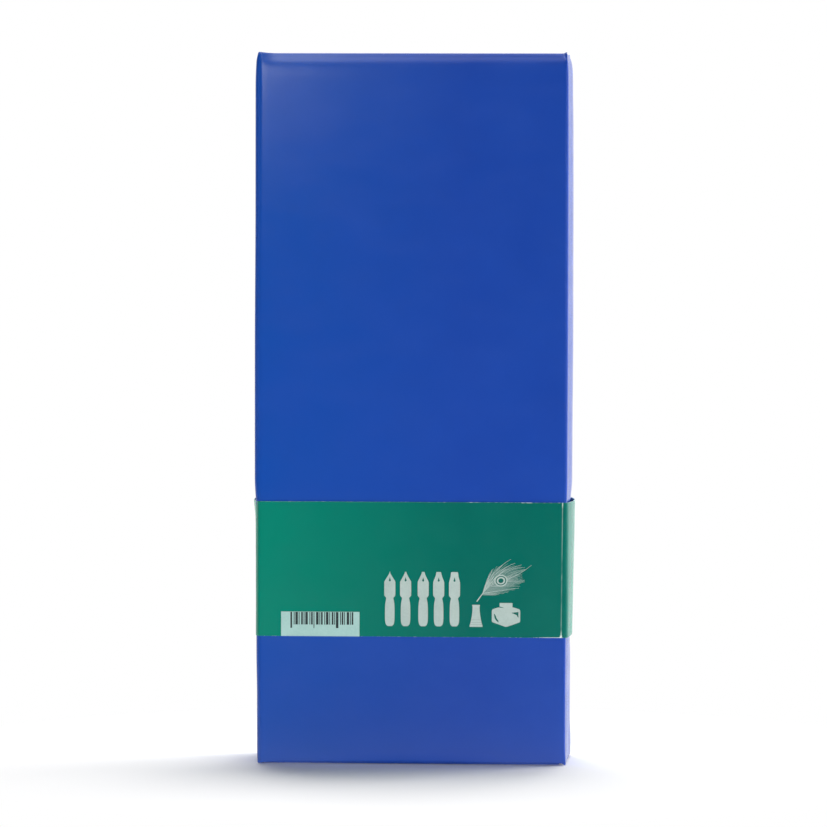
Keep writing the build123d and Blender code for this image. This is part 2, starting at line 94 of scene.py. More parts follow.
def make_piece(name, points, faces, body, slot, material, smooth=True, **attributes):
    """A mesh piece from points in millimetres. It rides on a body and takes the given finish; the slot
    argument is not used.
    """
    mesh = bpy.data.meshes.new(name)
    mesh.from_pydata([Vector(point) * MM for point in points], [], faces)
    mesh.update()
    for attribute, values in attributes.items():
        layer = mesh.attributes.new(attribute, "FLOAT", "POINT")
        layer.data.foreach_set("value", values)
    mesh.materials.append(material)
    mesh.polygons.foreach_set("use_smooth", [smooth] * len(mesh.polygons))
    piece = new_object(name, mesh)
    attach(piece, body)
    return piece


def grid_faces(rows, columns, closed_rows=False, closed_columns=False, first=0):
    """Quads over a grid of points stored row by row."""
    faces = []
    for row in range(rows if closed_rows else rows - 1):
        here = first + row * columns
        above = first + (row + 1) % rows * columns
        for column in range(columns if closed_columns else columns - 1):
            beside = (column + 1) % columns
            faces.append((here + column, here + beside, above + beside, above + column))
    return faces


def thicken(piece, thickness):
    """Gives a sheet its thickness in millimetres, inwards."""
    modifier = piece.modifiers.new("Solidify", "SOLIDIFY")
    modifier.thickness = thickness * MM
    modifier.offset = -1


# ---- material nodes
def new_material(name, roughness, **sockets):
    """A node material with its first settings."""
    material = bpy.data.materials.new(name)
    material.use_nodes = True
    return dress(material, Roughness=roughness, **sockets)


def dress(material, **sockets):
    """Feeds the shader's sockets, which are named as on the shader, with _ for a space."""
    shader = material.node_tree.nodes["Principled BSDF"]
    for socket, value in sockets.items():
        feed(material, shader.inputs[socket.replace("_", " ")], value)
    return material


def node(material, kind, inputs=None, **settings):
    """Adds a node. Each input is a value or another node's output."""
    made = material.node_tree.nodes.new("ShaderNode" + kind)
    for name, value in settings.items():
        setattr(made, name, value)
    for key, value in (inputs or {}).items():
        feed(material, made.inputs[key], value)
    return made


def feed(material, socket, value):
    """Sets a socket to a value or links it to an output."""
    if isinstance(value, bpy.types.NodeSocket):
        material.node_tree.links.new(value, socket)
    else:
        socket.default_value = value


def noise_value(material, scale, detail=3.0, roughness=0.5, stretch=(1, 1, 1)):
    """Noise from 0 to 1 with scale lumps to the metre, times stretch along each axis."""
    place = node(material, "TexCoord").outputs["Object"]
    place = node(material, "Mapping", {"Vector": place, "Scale": stretch}).outputs["Vector"]
    inputs = {"Vector": place, "Scale": scale, "Detail": detail, "Roughness": roughness}
    return node(material, "TexNoise", inputs).outputs["Fac"]


def spread(material, value, low, high, to_low=0.0, to_high=1.0):
    """Maps value from low..high to to_low..to_high, clamped."""
    inputs = {0: value, 1: low, 2: high, 3: to_low, 4: to_high}
    return node(material, "MapRange", inputs, clamp=True).outputs[0]


def combine(material, operation, value, *others):
    """Applies a two-sided operation to the first value and each further one in turn."""
    for other in others:
        value = node(material, "Math", {0: value, 1: other}, operation=operation).outputs[0]
    return value


def mix_colour(material, share, first, second):
    """Mixes two colours, each an output or a tuple of 0-255 screen values."""
    first, second = (srgb(*tone) if isinstance(tone, tuple) else tone for tone in (first, second))
    return node(material, "Mix", {0: share, 6: first, 7: second}, data_type="RGBA").outputs[2]


def attribute_value(material, name):
    return node(material, "Attribute", attribute_name=name).outputs["Fac"]


def axis_value(material, axis):
    """One coordinate of the point on the piece, in millimetres."""
    place = node(material, "TexCoord").outputs["Object"]
    split = node(material, "SeparateXYZ", {0: place})
    return combine(material, "DIVIDE", split.outputs[axis], MM)


def bump(material, relief, strength, distance_mm, below=None):
    """A bumped normal, laid over the normal below where one is given."""
    inputs = {"Height": relief, "Strength": strength, "Distance": distance_mm * MM}
    if below is not None:
        inputs["Normal"] = below
    return node(material, "Bump", inputs).outputs["Normal"]


# ---- materials
def painted_light_from_left(material):
    """1 at the box's left edge, falling to 0 a little right of its middle; the share of painted light
    from the left.
    """
    left_edge, plain_from = -62.0, 20.0
    return spread(material, axis_value(material, "X"), left_edge, plain_from, 1.0, 0.0)


def paper_material(name, colour, left_lit_colour, pale, roughness):
    """Coated wrapping paper: mottling, faint streaks, fibres, pale wear where the mesh says so, and
    painted light from the left.
    """
    material = new_material(name, roughness, Specular_IOR_Level=0.42)
    mottle = spread(material, noise_value(material, 38, 4), 0.3, 0.7, 0.0, 0.45)
    streaks = noise_value(material, 60, stretch=(1, 1, 2.2))
    # painted light: lighter and more teal towards the left, as if lit more from that side
    tone = mix_colour(material, painted_light_from_left(material), colour, left_lit_colour)
    tone = mix_colour(material, mottle, tone, pale)
    tone = mix_colour(material, spread(material, streaks, 0.50, 0.75, 0.0, 0.12), tone, pale)
    flecks = noise_value(material, 900, 2)
    wear = combine(material, "MULTIPLY", attribute_value(material, "wear"), flecks)
    tone = mix_colour(material, spread(material, wear, 0.30, 0.50, 0.0, 0.75), tone, (150, 166, 214))
    gloss = spread(material, streaks, 0.3, 0.7, roughness - 0.03, roughness + 0.03)
    fibres = noise_value(material, 1400, 3, 0.6, (1, 1, 0.5))
    grain = bump(material, fibres, 0.25, 0.02)
    ripple = bump(material, noise_value(material, 70, 2), 0.20, 0.15, grain)
    return dress(material, Base_Color=tone, Roughness=gloss, Normal=ripple)


blue_paper = paper_material("blue_paper", (24, 65, 158), (16, 73, 164), (30, 72, 166), 0.235)
tray_paper = paper_material("tray_paper", (27, 66, 158), (23, 70, 160), (38, 76, 168), 0.40)


def band_material():
    """Coated card printed green, with painted light making it lighter to the left, its white core bare
    where it is worn.
    """
    material = new_material(
        "band_card", 0.22, Specular_IOR_Level=0.3,
        Sheen_Weight=0.3, Sheen_Roughness=0.35, Sheen_Tint=srgb(120, 225, 195),
    )
    # painted light: the green is lighter towards the left, as if lit more from that side
    tone = mix_colour(material, painted_light_from_left(material), (0, 98, 87), (0, 127, 106))
    mottle = spread(material, noise_value(material, 60, 4), 0.35, 0.7, 0.0, 0.16)
    tone = mix_colour(material, mottle, tone, (4, 118, 103))
    flecks = noise_value(material, 1100, 3, 0.6)
    wear = combine(material, "MULTIPLY", attribute_value(material, "wear"), flecks)
    tone = mix_colour(material, spread(material, wear, 0.30, 0.46), tone, (214, 226, 220))
    tone = mix_colour(material, attribute_value(material, "crack"), tone, (214, 230, 224))
    gloss = spread(material, noise_value(material, 120), 0.3, 0.7, 0.20, 0.265)
    fibres = noise_value(material, 1200, 3, 0.6, (0.5, 1, 1))
    grain = bump(material, fibres, 0.2, 0.02)
    ripple = bump(material, noise_value(material, 60, 2), 0.2, 0.12, grain)
    return dress(material, Base_Color=tone, Roughness=gloss, Normal=ripple)


band_card = band_material()


def grained_material(name, colour, other, roughness, scale, bump_mm, specular=0.5, **sockets):
    """A plain surface with two-tone grain and a matching bump."""
    material = new_material(name, roughness, Specular_IOR_Level=specular, **sockets)
    grain = noise_value(material, scale, 5, 0.65)
    blotch = noise_value(material, scale / 14)
    share = spread(material, combine(material, "MULTIPLY", grain, blotch), 0.15, 0.38)
    tone = mix_colour(material, share, colour, other)
    gloss = spread(material, grain, 0.3, 0.7, roughness, roughness + 0.1)
    return dress(material, Base_Color=tone, Roughness=gloss, Normal=bump(material, grain, 0.5, bump_mm))


lining_paper = grained_material("lining_paper", (222, 219, 208), (206, 202, 190), 0.75, 1500, 0.03, 0.2)
greyboard = grained_material("greyboard", (142, 136, 124), (112, 106, 96), 0.85, 1300, 0.06, 0.2)
foam = grained_material("foam", (24, 24, 27), (9, 9, 11), 0.9, 1800, 0.12, 0.15)
flock = grained_material(
    "flock", (22, 27, 46), (13, 16, 30), 0.92, 2600, 0.10, 0.1, Sheen_Weight=0.35, Sheen_Roughness=0.45
)
liner_foam = grained_material("liner_foam", (226, 222, 208), (208, 204, 190), 0.8, 1600, 0.05, 0.2)


def print_material(name, colour, other, roughness=0.55, specular=0.15):
    """Matt ink on the band's card."""
    return grained_material(name, colour, other, roughness, 1400, 0.01, specular)


print_ink = print_material("print_ink", (174, 190, 184), (163, 180, 174))
print_dark = print_material("print_dark", (46, 58, 58), (34, 44, 46))
print_grey = print_material("print_grey", (134, 150, 146), (124, 142, 138))
print_hole = print_material("print_hole", (14, 98, 86), (6, 86, 76), 0.5)
print_panel = print_material("print_panel", (166, 200, 194), (156, 192, 186), 0.5, 0.12)


def metal_material(name, colour, dark, roughness, streak, tarnished=0.6):
    """Metal with faint tool marks, darker tarnish in patches and fine pitting."""
    material = new_material(name, roughness, Metallic=1.0)
    tarnish = spread(material, noise_value(material, 220, 5, 0.6), 0.45, 0.7, 0.0, tarnished)
    tone = mix_colour(material, tarnish, colour, dark)
    marks = noise_value(material, 500, 4, 0.6, streak)
    gloss = spread(material, marks, 0.3, 0.7, roughness - 0.06, roughness + 0.06)
    pits = bump(material, noise_value(material, 2400, 2), 0.15, 0.02)
    relief = bump(material, marks, 0.15, 0.02, pits)
    return dress(material, Base_Color=tone, Roughness=gloss, Normal=relief)


pewter = metal_material("pewter", (168, 168, 170), (96, 96, 100), 0.36, (1, 1, 6))
ferrule_brass = metal_material("ferrule_brass", (214, 178, 110), (140, 102, 52), 0.20, (1, 1, 8))
nib_steel = metal_material("nib_steel", (178, 180, 184), (116, 108, 96), 0.20, (6, 6, 1), 0.35)


def quill_material():
    """Horn-like quill: pale amber, lighter towards the feather's tip, with darker fibres."""
    material = new_material("quill", 0.35, Subsurface_Weight=0.15, Subsurface_Scale=0.001)
    up = spread(material, axis_value(material, "Z"), shaft_low.z, shaft_high.z)
    fibres = noise_value(material, 700, 4, 0.6, (1, 1, 0.05))
    tone = mix_colour(material, up, (196, 172, 124), (232, 222, 196))
    tone = mix_colour(material, spread(material, fibres, 0.4, 0.7, 0.0, 0.5), tone, (150, 118, 74))
    return dress(material, Base_Color=tone, Normal=bump(material, fibres, 0.3, 0.05))


quill = quill_material()

eye_share = 0.76  # how far up the vane the feather's eye is
eye_x = (shaft_low.x + shaft_high.x) / 2
eye_z = vane_low.z + (vane_high.z - vane_low.z) * eye_share


def ring_share(material, radius_x, radius_z, edge, drop):
    """1 inside an ellipse round the feather's eye, 0 outside it, with a soft edge."""
    squares = []
    for axis, middle, radius in (("X", eye_x, radius_x), ("Z", eye_z - drop, radius_z)):
        share = combine(material, "SUBTRACT", axis_value(material, axis), middle)
        share = combine(material, "DIVIDE", share, radius)
        squares.append(combine(material, "MULTIPLY", share, share))
    return spread(material, combine(material, "ADD", *squares), 1.0 + edge, 1.0 - edge)


def feather_material():
    """Bronze green barbs with the rings of the eye: gold, green, bronze, turquoise and dark blue."""
    material = new_material("feather_barbs", 0.42, Sheen_Weight=0.3, Sheen_Roughness=0.35, Metallic=0.25)
    threads = noise_value(material, 900, 3, 0.6)
    tone = mix_colour(material, spread(material, threads, 0.35, 0.65), (58, 84, 34), (98, 112, 44))
    rings = (  # half width, half height, softness, distance below the eye's middle
        (15.5, 21.0, 0.16, -1.0, (150, 150, 52)),
        (13.2, 18.0, 0.14, -0.5, (56, 118, 58)),
        (11.0, 14.6, 0.12, 0.0, (146, 92, 36)),
        (7.4, 9.4, 0.14, 0.6, (22, 158, 160)),
        (4.6, 5.6, 0.16, 1.6, (20, 26, 96)),
    )
    for radius_x, radius_z, edge, drop, colour in rings:
        tone = mix_colour(material, ring_share(material, radius_x, radius_z, edge, drop), tone, colour)
    return dress(material, Base_Color=tone, Normal=bump(material, threads, 0.3, 0.05))


feather_barbs = feather_material()


def glass_material():
    """Moulded bottle glass, faintly green, with a slightly wavy surface."""
    material = new_material("pot_glass", 0.03, Transmission_Weight=1.0, IOR=1.5)
    waves = bump(material, noise_value(material, 90, 1), 0.10, 0.10)
    return dress(material, Base_Color=srgb(228, 240, 236), Normal=waves)


pot_glass = glass_material()
black_ink = grained_material("black_ink", (9, 9, 14), (14, 14, 24), 0.08, 300, 0.01)
cap_plastic = grained_material("cap_plastic", (26, 26, 28), (18, 18, 20), 0.28, 900, 0.02)

cad_materials = (
    (lining_paper, "sleeve_lining"),
    (greyboard, "tray_board"),
    (tray_paper, "tray_wrap"),
    (foam, "foam_insert"),
    (flock, "insert_cover"),
    (quill, "quill_shaft"),
    (pewter, "pen_grip", "pen_stand"),
    (ferrule_brass, "nib_ferrule"),
    (nib_steel, "nib_clip", "fitted_nib", *(f"spare_nib_{number}" for number in range(1, 6))),
    (pot_glass, "ink_bottle"),
    (black_ink, "ink"),
    (cap_plastic, "ink_cap"),
    (liner_foam, "cap_liner"),
)
for material, *nodes in cad_materials:
    for name in nodes:
        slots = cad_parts[name].data.materials
        slots.clear()
        slots.append(material)

# ---- sleeve wrap
fold_radius = 2.4
corner_steps = 8
ring_step = 2.0  # the mesh's step along the straight walls
foot_dip = 0.85  # how far the end edges lie inside the corner tips
head_dip = 0.66
end_margin = 0.02  # how far the paper stays inside the sleeve's full length
wall = 2.6  # from the outer face to the inner one
paper = 0.28
board_gap = 0.36  # from the paper's outer face to the board
board_short = 0.60  # from the paper's end edges to the board's
board_step = 5  # the board's mesh step along the sleeve
turn_in = 16.0  # how far the paper reaches down inside
edge_wear, fold_wear, tip_wear = 0.26, 0.14, 0.5
roll_end = 1.3  # the inset where an end's outer roll stops
foot_roll = 0.12  # the share of that roll that the foot keeps
# Each end's section, from the outer face over the board's edge to the turn-in: inset, rise.
end_section = (
    (0.0, 9.6), (0.02, 8.2), (0.06, 6.8), (0.13, 5.4), (0.22, 4.3), (0.33, 3.4),
    (0.48, 2.6), (0.66, 1.85), (0.85, 1.1), (1.00, 0.45), (1.14, 0.10), (1.50, 0.0),
    (1.85, 0.10), (2.20, 0.38), (2.45, 0.85), (wall, 1.6), (wall, 5.0), (wall, turn_in),
)


def foot_inset(inset):
    """The foot's outer edge is folded more crisply than the head's."""
    return inset * foot_roll if inset < roll_end else inset


def rounded_ring(inset):
    """Points round the sleeve at one inset, as x, y and the outward normal."""
    radius = max(fold_radius - inset, 0.2)
    half_x = half_width - inset - radius
    half_y = half_depth - inset - radius
    centres = ((half_x, half_y), (-half_x, half_y), (-half_x, -half_y), (half_x, -half_y))
    steps = (round(2 * half_width / ring_step), round(2 * half_depth / ring_step))
    ring = []
    for corner, (x, y) in enumerate(centres):
        for step in range(corner_steps + 1):
            angle = math.pi / 2 * (corner + step / corner_steps)
            normal = (math.cos(angle), math.sin(angle))
            ring.append((x + radius * normal[0], y + radius * normal[1], *normal))
        next_x, next_y = centres[(corner + 1) % 4]
        flat = steps[corner % 2]
        for step in range(1, flat):
            share = step / flat
            flat_x, flat_y = x + (next_x - x) * share, y + (next_y - y) * share
            ring.append((flat_x + radius * normal[0], flat_y + radius * normal[1], *normal))
    return ring


# How far each corner's gathered tip spreads along the end, from +X+Y round to +X-Y.
tip_spread = (2.2, 3.0, 4.2, 1.3)


def corner_tip(x, y):
    """The share of a corner's full tip at a point round the sleeve."""
    corner = (0 if x > 0 else 1) if y > 0 else (2 if x < 0 else 3)
    corner_x = math.copysign(half_width - fold_radius * 0.3, x)
    corner_y = math.copysign(half_depth - fold_radius * 0.3, y)
    away = math.hypot(x - corner_x, y - corner_y)
    return math.exp(-((away / tip_spread[corner]) ** 1.5))


# The side walls bow outward between the ends: z, left, right.
side_bow = (
    (0.0, 0.0, 0.0), (26.0, 0.05, 0.05), (46.0, 0.38, 0.25), (100.0, 0.42, 0.45),
    (114.0, 1.30, 1.30), (170.0, 1.36, 1.55), (220.0, 1.10, 1.45), (250.0, 1.14, 1.35),
    (270.0, 1.14, 1.05), (280.0, 0.95, 0.95), (284.0, 0.50, 0.80),
)
crisp_fold = 1.30  # how much smaller the +X-Y fold's radius is
fold_in = 0.45  # how far that fold lies inside the sleeve's full width above the band
fold_lean = 0.65  # and below it, where the wall leans in towards the fold
back_flare = 0.25  # how far the +X+Y fold stands out below the band


def bowed(x, y, z, nx, ny, inset=0.0):
    """A point of the sleeve moved with its bowed side wall and the set of its +X folds.

    Each ease gives the stretch of x, y or z over which a move sets in.
    """
    for (low, *first), (high, *second) in zip(side_bow, side_bow[1:]):
        if z <= high:
            break
    share = ease(z, low, high)
    left, right = (a + (b - a) * share for a, b in zip(first, second))
    wall_share = 1 - min(1.0, abs(y) / half_depth) ** 2
    if x < 0:
        at_edge = ease(-x, half_width - 3.4, half_width)
        out = -left * (at_edge * 0.75 + 0.25 * wall_share * ease(-x, 55, half_width))
    else:
        flare = (back_flare + 0.40 * (1 - ease(z, 5, 18))) * (1 - ease(z, 40, 50)) * ease(y, -8, 19)
        out = (right * wall_share + flare) * ease(x, half_width - 3.0, half_width)
    if x > 0 and y < 0:
        upper = ease(z, 45, 112)
        sharper = crisp_fold * max(fold_radius - inset, 0.2) / fold_radius
        lean = min(max((-y - 8) / (half_depth - fold_radius - 8), 0.0), 1.0) ** 3
        inward = fold_in * upper * ease(-y, 6, half_depth - fold_radius)
        inward += fold_lean * (1 - upper) * lean
        inward *= ease(min(z, height - z), -4, 8)
        x += (sharper * (1 - nx) - inward) * ease(x, 50, half_width - fold_radius)
        y -= sharper * (1 + ny) * ease(-y, 12, half_depth - fold_radius)
    return x + out, y


def sleeve_rows():
    """The section from the lower turn-in over the outer face to the upper turn-in: inset, z, end."""
    rows = [(foot_inset(inset), foot_dip + rise, -1) for inset, rise in reversed(end_section)]
    first = foot_dip + end_section[0][1]
    last = height - head_dip - end_section[0][1]
    count = round((last - first) / ring_step)
    rows += [(0.0, first + (last - first) * step / count, 0) for step in range(1, count)]
    rows += [(inset, height - head_dip - rise, 1) for inset, rise in end_section]
    return rows


def make_sleeve_wrap():
    """The paper that covers the sleeve, folded over both ends."""
    points, wear = [], []
    rows = sleeve_rows()
    rings = {inset: rounded_ring(inset) for inset in {row[0] for row in rows}}
    for inset, z, end in rows:
        for (x, y, nx, ny), (base_x, base_y, *_) in zip(rings[inset], rings[0.0]):
            tip = corner_tip(base_x, base_y)
            from_end = min(z, height - z)
            lift = 0.0
            if end:
                near = (1 - ease(from_end, 1.5, 9.0)) * (1 - ease(inset, 0.9, 2.2))
                uneven = 0.10 * wave(base_x, base_y, 60 * end, 14)
                dip = head_dip if end > 0 else foot_dip
                lift = (dip * tip - (0.12 + uneven) * (1 - tip)) * near
            dent = 0.05 + 0.05 * wave(base_x, base_y, z, 36) if inset < 1.0 else 0.0
            dent *= 1 - tip * (1 - ease(from_end, 1.0, 6.0))
            dent -= 0.7 * inset * tip ** 3 * (1 - ease(inset, 0.9, 1.8))
            x, y = bowed(x - nx * dent, y - ny * dent, z, nx, ny, inset)
            points.append((x, y, min(max(z + end * lift, end_margin), height - end_margin)))
            edge = 1 - ease(from_end, 0.6, 2.6)
            fold = ease(abs(nx * ny), 0.25, 0.5)
            rub = 0.5 + 0.5 * wave(base_x * 2, base_y * 2, z, 9)
            worn = edge_wear * edge + fold_wear * fold * rub + tip_wear * tip * edge
            wear.append(min(1.0, worn * (0.5 + rub)))
    faces = grid_faces(len(rows), len(rings[0.0]), closed_columns=True)
    piece = make_piece("sleeve_paper", points, faces, "sleeve", "blue_paper", blue_paper, wear=wear)
    thicken(piece, paper)
    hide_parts("sleeve_wrap")


def make_sleeve_board():
    """The greyboard inside the paper, its ends crushed round by the fold."""
    half = [
        (inset + board_gap * (1 - ease(inset, 0.6, 2.0) * 2), board_short + rise + board_gap)
        for inset, rise in reversed(end_section)
    ]
    outside = [(inset, foot_dip + z) for inset, z in half]
    first = outside[-1][1]
    last = height - head_dip - half[-1][1]
    count = round((last - first) / board_step)
    outside += [(board_gap, first + (last - first) * step / count) for step in range(1, count)]
    outside += [(inset, height - head_dip - z) for inset, z in reversed(half)]
    points = []
    for inset, z in outside:
        points += [(*bowed(x, y, z, nx, ny, inset), z) for x, y, nx, ny in rounded_ring(inset)]
    columns = len(rounded_ring(0.0))
    faces = grid_faces(len(outside), columns, closed_rows=True, closed_columns=True)
    piece = make_piece("sleeve_card", points, faces, "sleeve", "greyboard", greyboard)
    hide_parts("sleeve_board")


seam_foot = 3.2
seam_short = 6.6  # how much shorter than the sleeve the paper's lap is
seam_edge = 7.5  # where the lap's free edge runs
seam_width = 11.3
lap_paper = 0.12


def make_sleeve_lap():
    """The end of the wrapping paper, glued down over its start on the -X wall near the +Y fold."""
    points, wear = [], []
    rows, columns = 70, 9
    for row in range(rows):
        z = seam_foot + (height - seam_short) * row / (rows - 1)
        uneven = 0.25 * wave(0, 1, z, 60)
        for column in range(columns):
            y = seam_edge + seam_width * column / (columns - 1) + uneven * (1 - column / (columns - 1))
            x, y = bowed(-half_width, y, z, -1, 0)
            proud = 0.10 - 0.07 * wave(0, y, z, 18) * (1 if column == 0 else 0.3)
            points.append((x + 0.05 + 0.05 * wave(-half_width, y, z, 36) - proud, y, z))
            wear.append(0.32 if column == 0 else 0.0)
    faces = [face[::-1] for face in grid_faces(rows, columns)]
    piece = make_piece("sleeve_lap", points, faces, "sleeve", "blue_paper", blue_paper, wear=wear)
    thicken(piece, lap_paper)


make_sleeve_wrap()
make_sleeve_board()
make_sleeve_lap()

# ---- belly band
print_room = 0.11  # what the prints need within the band's full depth
band_face = band_high.y - print_room
card = 0.36
card_edge = 0.12  # the height over which the card's cut edges are rounded
crease_x = 60.0
crease_lean = 0.45  # how far the crease leans in towards the foot
crease_groove = 0.04
corner_x = 62.5  # where the side panels start, at the sleeve's own folds
corner_back = 2.5
bow_top = band_high.x - 0.02
bow_bottom = band_high.x - 1.05
left_bow_less = 0.55  # the -X panel bows less below its top edge
lap_x = -12.3  # where the band's outer end stops on the +Y face
fold_line = ((60.75, 0.06), (61.20, 0.20), (61.55, 0.44), (61.85, 0.78), (62.10, 1.20), (62.32, 1.78))


def band_side(share, less, creased):
    """Half of a side panel's line: from the crease round the fold and out to the middle of the bow."""
    crease = crease_x - crease_lean * (1 - share)
    bow = bow_bottom + (bow_top - bow_bottom) * share - less - corner_x
    groove = crease_groove if creased else 0.0
    half = [(crease - 0.25, 0.0), (crease, 0.0), (crease + 0.12, groove), (crease + 0.26, 0.3 * groove)]
    half += [(x, back * (1.0 if creased else 1.25) + 0.02) for x, back in fold_line]
    half.append((corner_x, corner_back))
    side = [(x, -band_face + back) for x, back in half]
    reach = band_face - corner_back
    for step in range(1, 13):
        along = step / 24
        side.append((corner_x + bow * 4 * along * (1 - along), -reach + 2 * reach * along))
    return side


def lap_rise(x):
    """How far the band's outer end stands off the +Y face where it lies over the inner end."""
    return 0.085 * (1 - ease(x, lap_x + 4, lap_x + 22)) if x > lap_x else 0.0


def band_path(share):
    """The band's outer line seen from above at one height, share 0 at its foot and 1 at its top."""
    flat_steps = 62
    flat = [-crease_x + 2 * crease_x * step / flat_steps for step in range(1, flat_steps)]
    right = band_side(share, 0.0, True)
    left = band_side(share, left_bow_less * (1 - ease(share, 0.86, 1.0)), False)
    lap_step = [lap_x + offset for offset in (-0.20, -0.04, 0.04, 0.20)]
    path = [(x, -band_face) for x in flat]
    path += right + [(x, -y) for x, y in reversed(right[:-1])]
    path += [(x, band_face + lap_rise(x)) for x in sorted(flat + lap_step, reverse=True)]
    return path + [(-x, -y) for x, y in left] + [(-x, y) for x, y in reversed(left[:-1])]


def path_normals(path):
    """The outward normal at each point of a closed path that runs counter-clockwise."""
    normals = []
    for before, after in zip([path[-1], *path], [*path[1:], path[0]]):
        along = Vector((after[0] - before[0], after[1] - before[1])).normalized()
        normals.append((along.y, -along.x))
    return normals


def band_fringe(x, y, z, from_top, from_foot):
    """How worn the card is near its cut edges and corners, 0 to 1, over strips of a few tenths."""
    rub = 0.5 + 0.5 * wave(x, y, z, 7)
    top = (1 - ease(from_top, 0.10, 0.40)) * ease(x, -8, 25) * rub * 1.3
    foot = (1 - ease(from_foot, 0.08, 0.34)) * ease(x, 40, 56) * (1 - ease(x, 59.8, 60.6)) * (0.6 + rub)
    everywhere = (1 - ease(min(from_top, from_foot), 0.05, 0.22)) * 0.6
    from_crease = math.hypot(x - crease_x + crease_lean, (from_foot - 0.7) * 0.5)
    scuff = (1 - ease(from_crease, 0.15, 0.65)) * 0.9
    return min(1.0, max(top, foot, everywhere, scuff if y < 0 else 0))


def band_crease(x, y, z, from_top, from_foot):
    """How much of the card's white core shows in the scored creases, 0 to 1."""
    crease = crease_x - crease_lean * from_top / (from_top + from_foot)
    across = 1 - ease(abs(abs(x) - crease - 0.08), 0.03, 0.18)
    rub = 0.22 + 0.25 * wave(x * 0.1, y * 0.1, z, 6) + 0.25 * wave(x * 0.1, y * 0.1, z, 1.3)
    ends = 0.7 * (1 - ease(from_top, 0.6, 2.5)) + 0.8 * (1 - ease(from_foot, 1.0, 3.5))
    if y > 0 and abs(x - lap_x) < 0.05:
        return 0.5 + 0.3 * wave(0, 0, z, 4)
    return across * min(1.0, max(rub, 0.08) + ends) if x > 0 else 0.0


def make_band():
    """The printed card band, open where its side panels bow off the sleeve."""
    rows = []
    band_height = band_high.z - band_low.z
    rises = [0.0, 0.05, card_edge, 0.3, 0.6, 1.0, 1.6, 2.4] + [3.4 + 1.9 * step for step in range(13)]
    rises += [band_height - rise for rise in reversed(rises)]
    for rise in rises:
        round_in = card * 0.35 * max(0.0, 1 - min(rise, band_height - rise) / card_edge)
        rows.append((round_in, rise))
    rows += [(card - round_in, rise) for round_in, rise in reversed(rows)]
    points, wear, crack = [], [], []
    for inset, rise in rows:
        share = rise / band_height
        path = band_path(share)
        z = band_low.z + rise
        end = 1 if share > 0.5 else -1
        near_end = ease(abs(share - 0.5), 0.3, 0.5)
        outside = inset < card / 2
        for (x, y), (nx, ny) in zip(path, path_normals(path)):
            loose = ease(abs(x), crease_x + 1.5, half_width + 0.4)
            sag = 0.05 * (0.5 + 0.5 * wave(x, y, z, 30))
            sag += 0.12 * loose * (0.5 + 0.5 * wave(x, y, z, 12))
            ripple = min(0.10 * wave(x, y, 900, 24) * end * near_end, 0)  # never past the cut edge
            depth = inset + sag
            points.append((x - nx * depth, y - ny * depth, z + ripple * end))
            wear.append(band_fringe(x, y, z, band_height - rise, rise) if outside else 1.0)
            crack.append(band_crease(x, y, z, band_height - rise, rise) if outside else 1.0)
    faces = grid_faces(len(rows), len(band_path(0)), closed_rows=True, closed_columns=True)
    piece = make_piece("band_card", points, faces, "band", "band_card", band_card, wear=wear, crack=crack)
    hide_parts("belly_band")


make_band()

# ---- prints on the band
print_back = -band_face + 0.09  # prints start inside the card
print_front = -band_face - 0.022  # and stand a hair proud of it
detail_front = print_front - 0.012  # details lie on the pale ones
plume_relief = 0.0005  # each stroke of the plume lies this much above the last
eye_front = print_front - 0.062  # the plume's eye lies above its strokes


def flat_print(name, outlines, material, front=print_front, relief=0.0):
    """Thin closed plates on the band's plain face, one from each outline of x, z points.

    Outlines that cross each other are given a relief, so that each lies a hair above the last.
    """
    points, faces = [], []
    for order, outline in enumerate(outlines):
        front -= relief if order else 0.0
        first, count = len(points), len(outline)
        points += [(x, front, z) for x, z in outline]
        points += [(x, print_back, z) for x, z in outline]
        faces.append([first + index for index in range(count)])
        faces.append([first + count + index for index in reversed(range(count))])
        for index in range(count):
            after = (index + 1) % count
            faces.append((first + index, first + count + index, first + count + after, first + after))
    piece = make_piece(name, points, faces, "band", "band_card", material, smooth=False)
    tidy = bmesh.new()
    tidy.from_mesh(piece.data)
    bmesh.ops.recalc_face_normals(tidy, faces=tidy.faces)
    bmesh.ops.triangulate(tidy, faces=[face for face in tidy.faces if len(face.verts) > 4])
    tidy.to_mesh(piece.data)
    tidy.free()


def mirrored(half, centre_x):
    """A closed outline from the points of its right half, given as distance from the centre, z."""
    return [(centre_x + x, z) for x, z in half] + [(centre_x - x, z) for x, z in reversed(half)]


def catmull_rom(p0, p1, p2, p3, t):
    """A smooth curve's value at a share t of the way from p1 to p2."""
    square = 2 * p0 - 5 * p1 + 4 * p2 - p3
    cube = 3 * p1 - p0 - 3 * p2 + p3
    return 0.5 * (2 * p1 + (p2 - p0) * t + square * t * t + cube * t ** 3)


def smooth_path(corners, steps):
    """A smooth line through the corners, with so many steps from each to the next."""
    ends = [corners[0], *corners, corners[-1]]
    path = []
    for four in zip(ends, ends[1:], ends[2:], ends[3:]):
        for step in range(steps):
            path.append(tuple(catmull_rom(*values, step / steps) for values in zip(*four)))
    return path + [corners[-1]]


def ellipse(x, z, radius_x, radius_z, turn):
    """An ellipse's outline, turned by an angle."""
    outline, count = [], 40
    for step in range(count):
        angle = 2 * math.pi * step / count
        across, up = radius_x * math.cos(angle), radius_z * math.sin(angle)
        outline.append(
            (
                x + across * math.cos(turn) - up * math.sin(turn),
                z + across * math.sin(turn) + up * math.cos(turn),
            )
        )
    return outline


